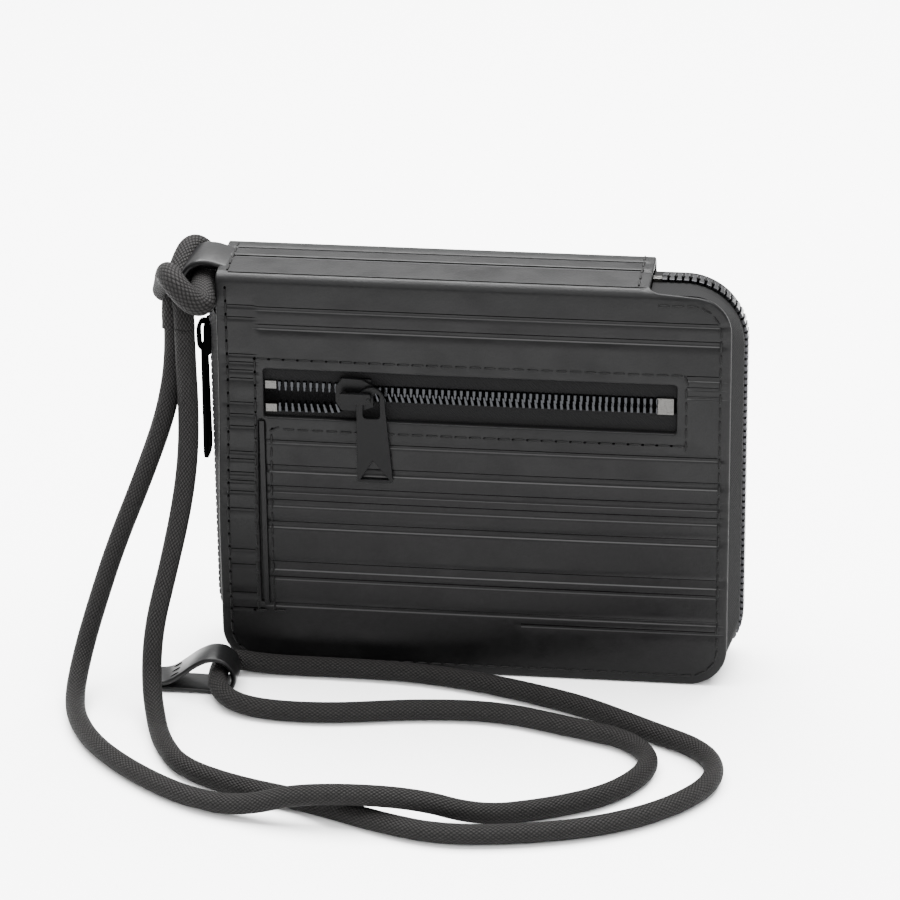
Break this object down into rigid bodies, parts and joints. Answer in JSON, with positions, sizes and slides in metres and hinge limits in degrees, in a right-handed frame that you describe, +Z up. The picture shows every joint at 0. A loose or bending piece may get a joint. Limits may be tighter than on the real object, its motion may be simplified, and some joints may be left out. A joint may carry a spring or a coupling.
{
  "type": "neck pouch wallet",
  "caption": "Black leather zip-around wallet with embossed lines, a zipped front pocket and a braided neck cord hitched to a leather tab.",
  "frame": {"origin": "on the surface the wallet stands on, halfway along the closed body and halfway between its covers", "axes": "+Z up from the open edge to the spine, -Y out of the front cover with the pocket, +X to the right seen from the front"},
  "size_m": [0.1712, 0.1152, 0.11],
  "materials": {
    "embossed_leather": "black grained leather with pressed lines, satin",
    "smooth_leather": "smooth black leather, semi-gloss",
    "lining_leather": "thin black leather, matte",
    "board": "grey stiffening board",
    "bag_cloth": "black twill",
    "zip_tape": "black woven tape",
    "zip_teeth": "polished gunmetal",
    "zip_stops": "nickel plated",
    "slider_paint": "matt black paint",
    "cord_braid": "black braided cord"
  },
  "bodies": {
    "front_half": {"front_cover": "embossed_leather", "pocket_welt": "embossed_leather", "spine_board": "board", "front_board": "board", "pocket_bag": "bag_cloth", "front_lining": "lining_leather", "slip_pocket": "lining_leather", "pocket_teeth_upper": "zip_teeth", "pocket_teeth_lower": "zip_teeth", "pocket_tape_upper": "zip_tape", "pocket_tape_lower": "zip_tape", "pocket_top_stops": "zip_stops", "pocket_box_stop": "zip_stops", "main_tape_front": "zip_tape", "main_teeth_front": "zip_teeth", "main_top_stop_front": "zip_stops", "main_bottom_stop": "zip_stops", "tab_loop": "smooth_leather", "neck_cord": "cord_braid", "cord_hitch": "cord_braid", "cord_keeper": "smooth_leather"},
    "back_half": {"back_cover": "embossed_leather", "back_board": "board", "back_lining": "lining_leather", "card_slot_1": "lining_leather", "card_slot_2": "lining_leather", "card_slot_3": "lining_leather", "card_slot_4": "lining_leather", "main_tape_back": "zip_tape", "main_teeth_back": "zip_teeth", "main_top_stop_back": "zip_stops"},
    "main_slider_body": {"main_slider": "slider_paint"},
    "main_puller_body": {"main_puller": "slider_paint"},
    "pocket_slider_body": {"pocket_slider": "slider_paint"},
    "pocket_puller_body": {"pocket_puller": "slider_paint"}
  },
  "joints": [
    {"name": "cover_fold", "type": "hinge", "parent": "front_half", "child": "back_half", "pos_m": [0, 0.0114, 0.1094], "axis": [1, 0, 0], "range_deg": [0, 100]},
    {"name": "main_zip_slide", "type": "slide", "parent": "front_half", "child": "main_slider_body", "axis": [0, 0, -1], "range_m": [0, 0.062], "deforming": ["main_teeth_front", "main_teeth_back", "main_tape_front", "main_tape_back"]},
    {"name": "main_puller_swing", "type": "hinge", "parent": "main_slider_body", "child": "main_puller_body", "pos_m": [-0.0704, 0, 0.0857], "axis": [0, 1, 0], "range_deg": [0, 100]},
    {"name": "pocket_zip_slide", "type": "slide", "parent": "front_half", "child": "pocket_slider_body", "axis": [1, 0, 0], "range_m": [-0.015, 0.0728], "deforming": ["pocket_teeth_upper", "pocket_teeth_lower", "pocket_tape_upper", "pocket_tape_lower"]},
    {"name": "pocket_puller_swing", "type": "hinge", "parent": "pocket_slider_body", "child": "pocket_puller_body", "pos_m": [-0.0269, -0.0133, 0.0784], "axis": [0, -1, 0], "range_deg": [-40, 85]}
  ]
}
